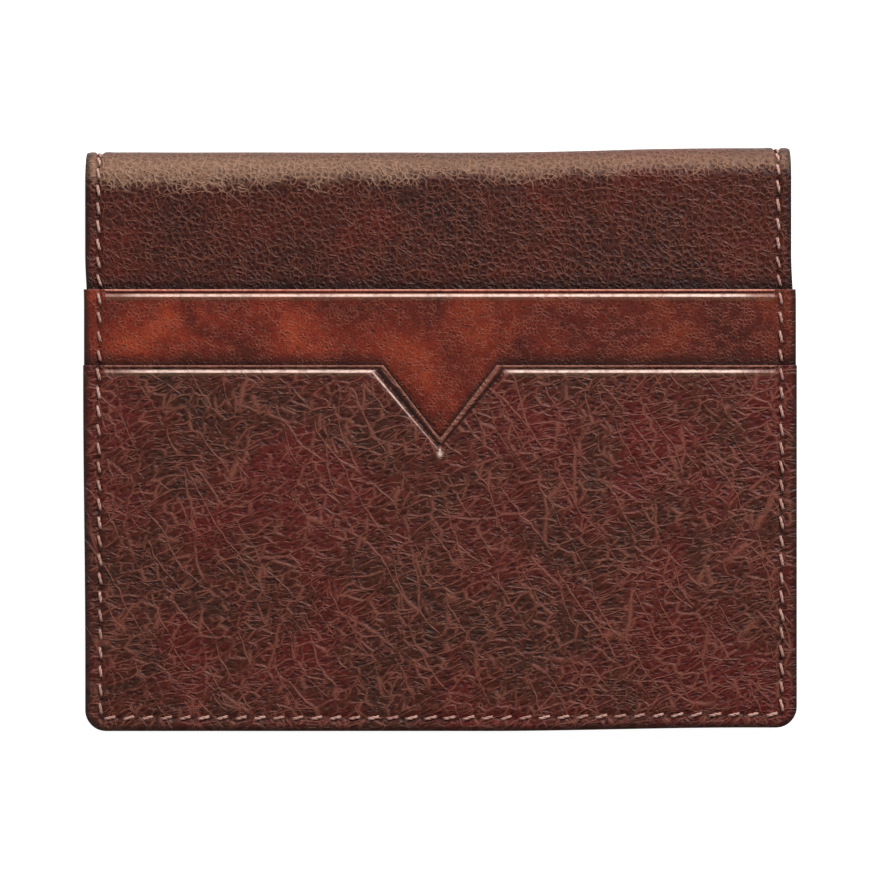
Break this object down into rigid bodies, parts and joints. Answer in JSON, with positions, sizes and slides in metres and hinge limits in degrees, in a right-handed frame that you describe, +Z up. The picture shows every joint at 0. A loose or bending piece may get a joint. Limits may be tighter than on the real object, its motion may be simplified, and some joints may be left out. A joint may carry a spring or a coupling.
{
  "type": "minimalist wallet",
  "caption": "Slim leather bifold card wallet with a top fold, stepped outside pockets with a V-shaped thumb notch, and card slots and note sleeves inside.",
  "frame": {"origin": "middle of the closed wallet's footprint, on the back cover's outer face, which it rests on", "axes": "+X across the wallet to the right, +Y from the free edges to the folded spine, +Z up through the layers, out of the front cover with the outside pockets"},
  "size_m": [0.102, 0.0832, 0.0123],
  "materials": {
    "cover_leather": "satin pebbled grain, dark brown",
    "notched_pocket_leather": "satin crackled grain, brown burgundy",
    "rear_pocket_leather": "satin smooth grain, red brown",
    "inner_leather": "satin fine grain, brown",
    "lining_cloth": "matte fine weave, brown",
    "stiffener_board": "matte bonded fibre board",
    "thread": "waxed thread, pinkish beige"
  },
  "bodies": {
    "back_half": {"back_cover": "cover_leather", "back_interlining": "stiffener_board", "back_lining": "lining_cloth", "back_sleeve_hem": "inner_leather", "back_sleeve_panel": "inner_leather", "card_slot_1_hem": "inner_leather", "card_slot_1_panel": "inner_leather", "card_slot_1_base_seam": "thread", "card_slot_2_hem": "inner_leather", "card_slot_2_panel": "inner_leather", "card_slot_2_base_seam": "thread", "card_slot_3_hem": "inner_leather", "card_slot_3_panel": "inner_leather", "back_seam_inside": "thread", "back_seam_outside": "thread"},
    "spine": {"spine_cover": "cover_leather", "spine_lining": "lining_cloth", "spine_seam": "thread"},
    "front_half": {"front_sleeve_panel": "inner_leather", "front_sleeve_hem": "inner_leather", "front_lining": "lining_cloth", "front_interlining": "stiffener_board", "front_cover": "cover_leather", "front_seam_inside": "thread", "front_seam_outside": "thread", "outer_rear_pocket_hem": "rear_pocket_leather", "outer_rear_pocket": "rear_pocket_leather", "outer_rear_pocket_base_seam": "thread", "outer_notched_pocket_hem": "notched_pocket_leather", "outer_notched_pocket": "notched_pocket_leather"}
  },
  "joints": [
    {"name": "spine_fold", "type": "hinge", "parent": "back_half", "child": "spine", "pos_m": [0, 0.04063, 0.00097], "axis": [-1, 0, 0], "range_deg": [0, 90], "deforming": ["spine_cover", "spine_lining", "spine_seam"]},
    {"name": "cover_fold", "type": "hinge", "parent": "spine", "child": "front_half", "pos_m": [0, 0.04063, 0.00803], "axis": [-1, 0, 0], "range_deg": [0, 90], "deforming": ["spine_cover", "spine_lining", "spine_seam"]}
  ],
  "couplings": [
    {"joint": "cover_fold", "follows": "spine_fold", "ratio": 1}
  ]
}
